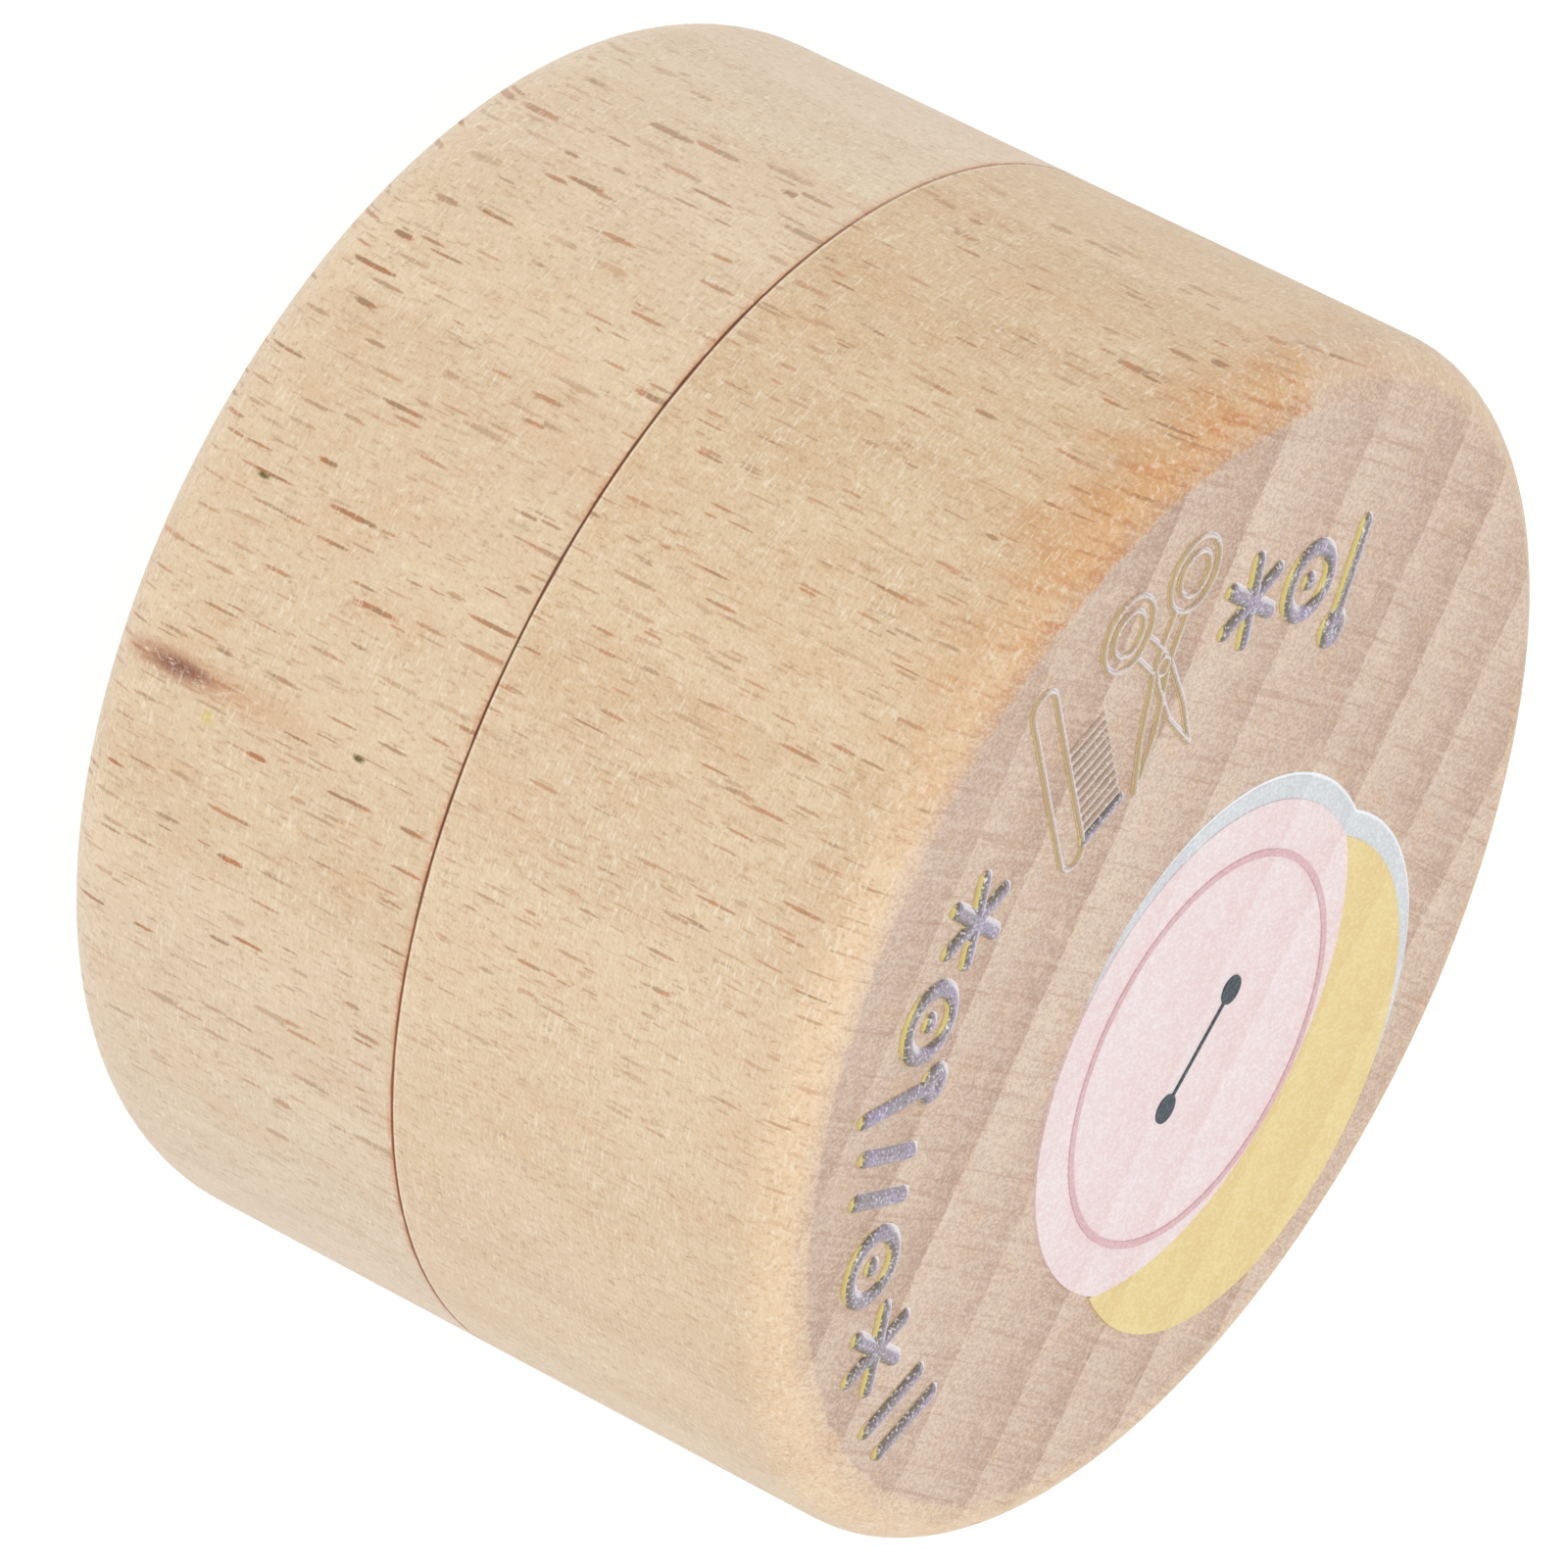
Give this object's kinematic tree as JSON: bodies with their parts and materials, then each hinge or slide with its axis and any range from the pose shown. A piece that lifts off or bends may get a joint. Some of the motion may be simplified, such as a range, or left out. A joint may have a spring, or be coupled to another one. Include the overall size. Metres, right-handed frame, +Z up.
{
  "type": "round turned wooden notions box",
  "caption": "Small round turned-wood box with a push-on lid, rounded ends, a printed button picture and raised marks on the lid.",
  "frame": {"origin": "centre of the flat underside of the base", "axes": "+Z up along the box's axis towards the lid; +Y is the top of the printed picture; +X its right"},
  "size_m": [0.05, 0.05, 0.0352],
  "materials": {
    "wood_base": "sanded raw beech",
    "wood_lid": "sanded raw beech",
    "ink_white": "thin satin print film",
    "ink_pink": "thin satin print film",
    "ink_yellow": "thin satin print film",
    "ink_rose": "thin satin print film",
    "ink_dark": "thin satin print film",
    "varnish": "raised print varnish"
  },
  "bodies": {
    "base_body": {"base": "wood_base"},
    "lid_body": {"lid": "wood_lid", "print_white": "ink_white", "print_pink": "ink_pink", "print_yellow": "ink_yellow", "print_rose": "ink_rose", "print_dark": "ink_dark", "relief_left": "varnish", "relief_right": "varnish", "relief_scissors": "varnish", "relief_comb": "varnish"}
  },
  "joints": [
    {"name": "lid_lift", "type": "slide", "parent": "base_body", "child": "lid_body", "axis": [0, 0, 1], "range_m": [0, 0.03]}
  ]
}
